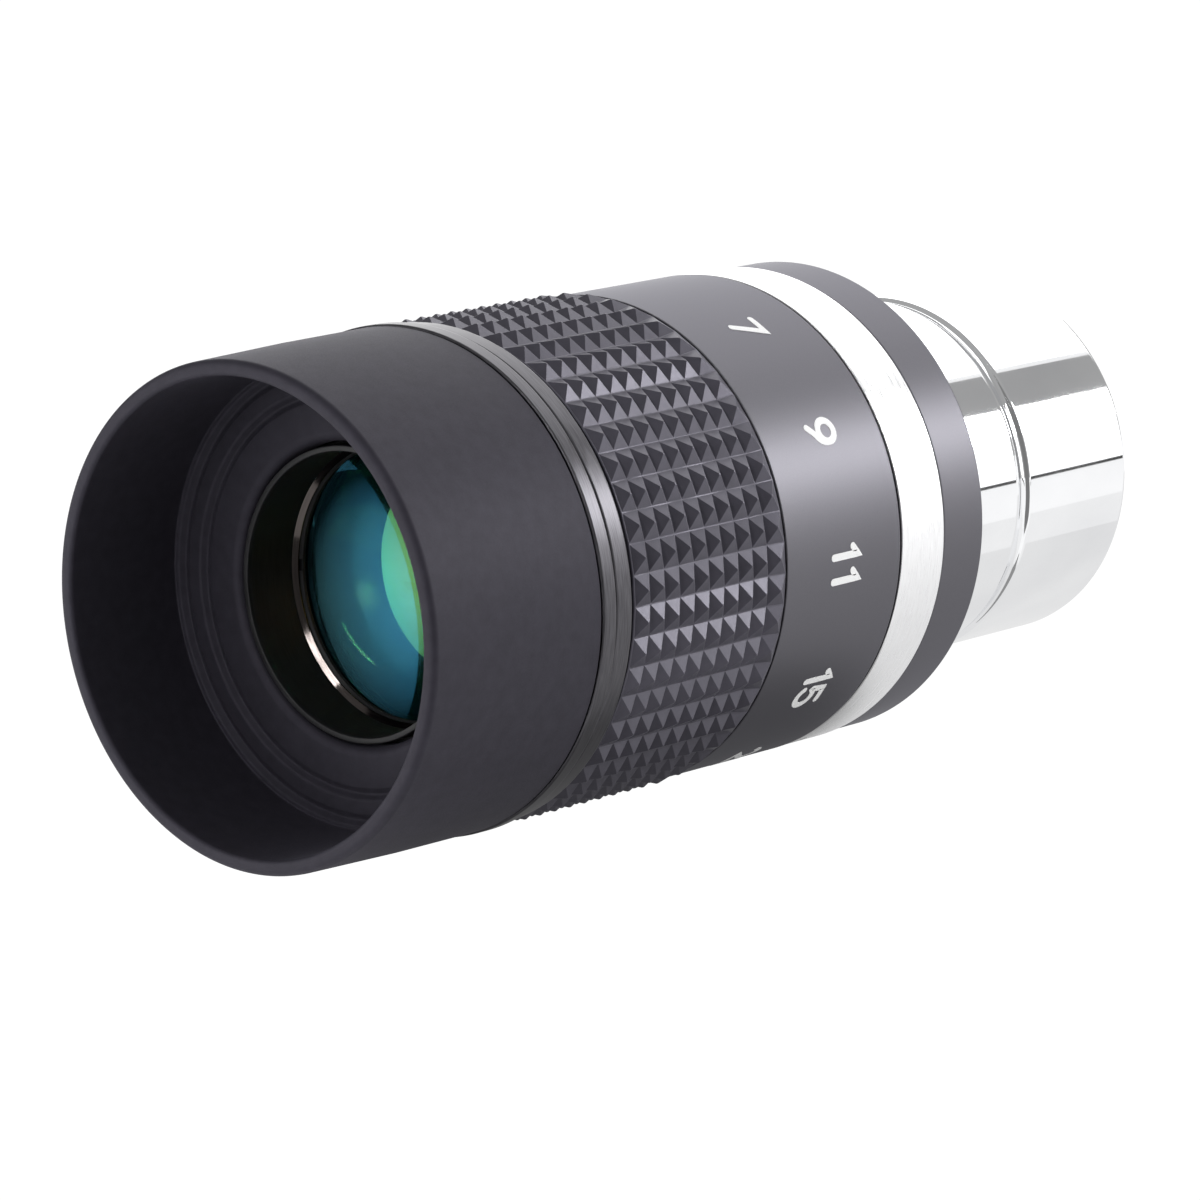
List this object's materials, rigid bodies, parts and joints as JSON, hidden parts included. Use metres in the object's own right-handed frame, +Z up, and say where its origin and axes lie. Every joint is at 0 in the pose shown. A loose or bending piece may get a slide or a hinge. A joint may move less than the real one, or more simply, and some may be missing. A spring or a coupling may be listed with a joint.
{
  "type": "telescope eyepiece",
  "caption": "Zoom eyepiece for a telescope: push-fit chrome nosepiece, ridged rubber zoom ring with a numbered scale, deep soft eyecup and coated eye lens.",
  "frame": {"origin": "centre of the seating shoulder, on the optical axis where the nosepiece enters the base ring", "axes": "+Z up, as the eyepiece lies level; the optical axis runs along Y, with the eye at -Y, and +Y the way the nosepiece points into the focuser; at rest the index dot is 64.5 degrees below +X, with the number 21 at it"},
  "size_m": [0.042, 0.0954, 0.042],
  "materials": {
    "chrome": "polished bright plate",
    "black_anodised": "satin black anodised",
    "satin_silver": "fine turned satin, clear anodised",
    "blackened_metal": "matte optical black",
    "soft_rubber": "matte moulded rubber",
    "grip_rubber": "moulded rubber with pyramids",
    "coated_glass": "polished, green-blue anti-reflection coating",
    "cam_alloy": "turned and milled, greased",
    "slip_plastic": "low-friction polymer",
    "steel_screws": "blackened steel",
    "index_enamel": "black enamel fill",
    "brass_pins": "turned"
  },
  "bodies": {
    "housing": {"nosepiece": "chrome", "nose_baffle": "blackened_metal", "base_ring": "black_anodised", "silver_band": "satin_silver", "guide_tube": "blackened_metal", "guide_lock_screws": "steel_screws", "stop_screw": "steel_screws", "lower_slip_ring": "slip_plastic", "upper_slip_ring": "slip_plastic", "retaining_ring": "black_anodised", "eyecup_collar": "black_anodised", "index_dot": "index_enamel", "collar_lock_screw": "steel_screws", "eyecup": "soft_rubber", "eye_bezel": "blackened_metal", "eye_cell": "blackened_metal", "eye_lens": "coated_glass", "eye_lens_spacer": "blackened_metal", "eye_doublet_crown": "coated_glass", "eye_doublet_flint": "coated_glass", "eye_cell_ring": "blackened_metal"},
    "zoom_ring": {"zoom_sleeve": "black_anodised", "rubber_grip": "grip_rubber", "cam_sleeve": "cam_alloy", "drive_screws": "steel_screws"},
    "field_group": {"field_carrier": "blackened_metal", "field_doublet_crown": "coated_glass", "field_doublet_flint": "coated_glass", "field_cell_ring": "blackened_metal", "field_stop": "blackened_metal", "field_cam_pins": "brass_pins"},
    "middle_group": {"middle_cell": "blackened_metal", "middle_lens": "coated_glass", "middle_cell_ring": "blackened_metal", "middle_cam_pins": "brass_pins"}
  },
  "joints": [
    {"name": "zoom_turn", "type": "hinge", "parent": "housing", "child": "zoom_ring", "pos_m": [0, -0.028, 0], "axis": [0, -1, 0], "range_deg": [-126, 0]},
    {"name": "field_slide", "type": "slide", "parent": "housing", "child": "field_group", "axis": [0, 1, 0], "range_m": [0, 0.011]},
    {"name": "middle_slide", "type": "slide", "parent": "housing", "child": "middle_group", "axis": [0, -1, 0], "range_m": [0, 0.006]}
  ],
  "couplings": [
    {"joint": "field_slide", "follows": "zoom_turn", "m_per_rad": -0.005002},
    {"joint": "middle_slide", "follows": "zoom_turn", "m_per_rad": -0.002728}
  ]
}
